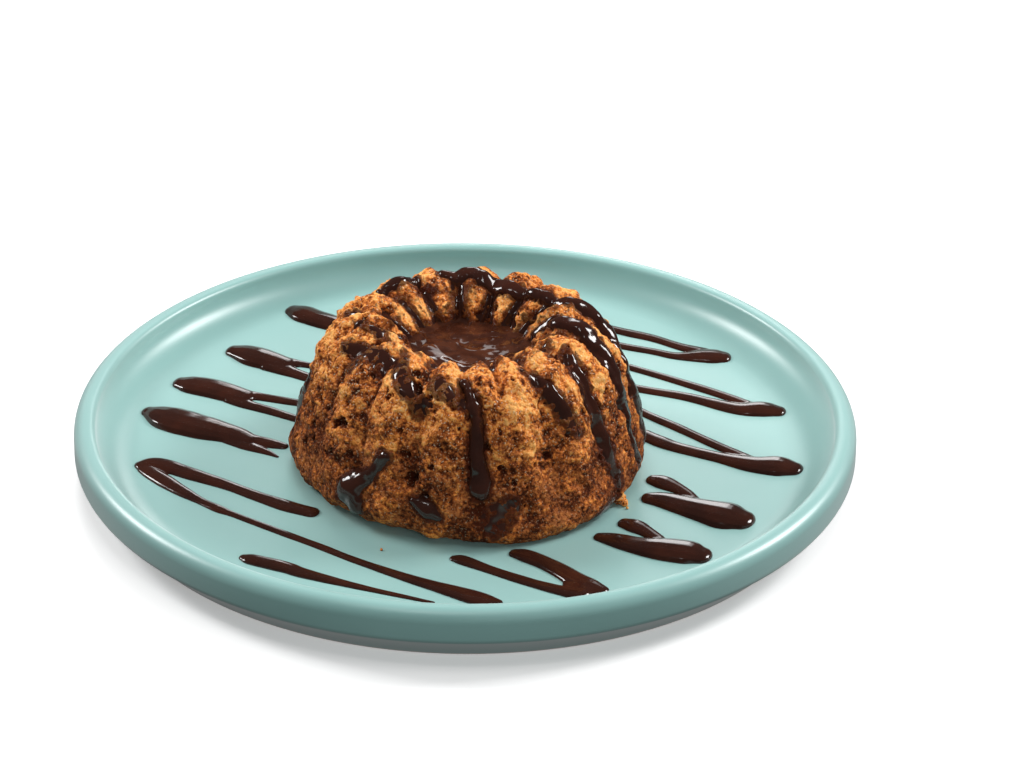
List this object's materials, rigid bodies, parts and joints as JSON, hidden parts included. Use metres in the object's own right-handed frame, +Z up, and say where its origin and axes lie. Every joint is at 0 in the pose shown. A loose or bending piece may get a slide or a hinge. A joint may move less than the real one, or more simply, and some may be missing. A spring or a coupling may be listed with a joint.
{
  "type": "chocolate lava cake",
  "caption": "Fluted mini bundt cake with a pool of chocolate sauce in its crater, on a walled dessert plate drizzled with sauce.",
  "frame": {"origin": "middle of the plate's foot, at table level", "axes": "+Z up, -Y towards the viewer of the picture, +X to the viewer's right"},
  "size_m": [0.2, 0.2, 0.0501],
  "materials": {
    "plate": "satin teal glaze",
    "cake": "moist brown crumb, matt, with glossy dark sauce runs",
    "sauce_pool": "glossy dark chocolate sauce"
  },
  "bodies": {
    "root": {"plate": "plate", "cake": "cake", "sauce_pool": "sauce_pool"}
  },
  "joints": []
}
